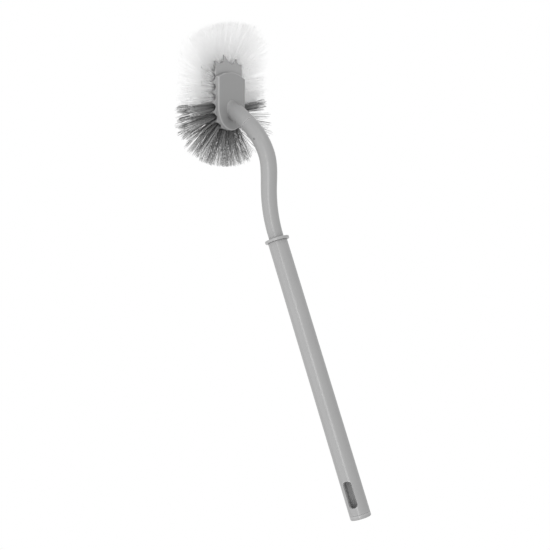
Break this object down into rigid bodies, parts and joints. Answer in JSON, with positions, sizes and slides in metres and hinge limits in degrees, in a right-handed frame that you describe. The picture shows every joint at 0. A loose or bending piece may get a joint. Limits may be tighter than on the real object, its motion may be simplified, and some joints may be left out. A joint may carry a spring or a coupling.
{
  "type": "toilet brush",
  "caption": "Toilet brush with a slotted round handle, an S-curved neck and a plug-in head that carries white and dark bristle tufts round its rim.",
  "frame": {"origin": "middle of the hanging slot, on the axis of the handle tube", "axes": "+Z along the handle towards its free end, so the brush hangs head down; +Y towards the side to which the neck bows and the back of the cover faces; +X across the head"},
  "size_m": [0.0992, 0.0572, 0.4056],
  "materials": {
    "handle_plastic": "satin, finely textured moulded plastic",
    "head_plastic": "satin moulded plastic",
    "white_bristle": "translucent white filament",
    "dark_bristle": "dark grey filament"
  },
  "bodies": {
    "handle": {"grip_tube": "handle_plastic", "end_cap": "handle_plastic", "neck": "handle_plastic"},
    "head": {"head_cover": "head_plastic", "tuft_block": "head_plastic", "dark_tuft_back_01": "dark_bristle", "dark_tuft_back_02": "dark_bristle", "dark_tuft_back_03": "dark_bristle", "dark_tuft_back_04": "dark_bristle", "dark_tuft_back_05": "dark_bristle", "dark_tuft_back_06": "dark_bristle", "dark_tuft_back_07": "dark_bristle", "dark_tuft_back_08": "dark_bristle", "dark_tuft_front_01": "dark_bristle", "dark_tuft_front_02": "dark_bristle", "dark_tuft_front_03": "dark_bristle", "dark_tuft_front_04": "dark_bristle", "dark_tuft_front_05": "dark_bristle", "dark_tuft_front_06": "dark_bristle", "dark_tuft_front_07": "dark_bristle", "dark_tuft_front_08": "dark_bristle", "white_tuft_back_01": "white_bristle", "white_tuft_back_02": "white_bristle", "white_tuft_back_03": "white_bristle", "white_tuft_back_04": "white_bristle", "white_tuft_back_05": "white_bristle", "white_tuft_back_06": "white_bristle", "white_tuft_back_07": "white_bristle", "white_tuft_back_08": "white_bristle", "white_tuft_back_09": "white_bristle", "white_tuft_back_10": "white_bristle", "white_tuft_back_11": "white_bristle", "white_tuft_back_12": "white_bristle", "white_tuft_back_13": "white_bristle", "white_tuft_front_01": "white_bristle", "white_tuft_front_02": "white_bristle", "white_tuft_front_03": "white_bristle", "white_tuft_front_04": "white_bristle", "white_tuft_front_05": "white_bristle", "white_tuft_front_06": "white_bristle", "white_tuft_front_07": "white_bristle", "white_tuft_front_08": "white_bristle", "white_tuft_front_09": "white_bristle", "white_tuft_front_10": "white_bristle", "white_tuft_front_11": "white_bristle", "white_tuft_front_12": "white_bristle", "white_tuft_front_13": "white_bristle"}
  },
  "joints": [
    {"name": "head_pull_off", "type": "slide", "parent": "handle", "child": "head", "axis": [0, -0.4848, -0.8746], "range_m": [0, 0.016]}
  ]
}
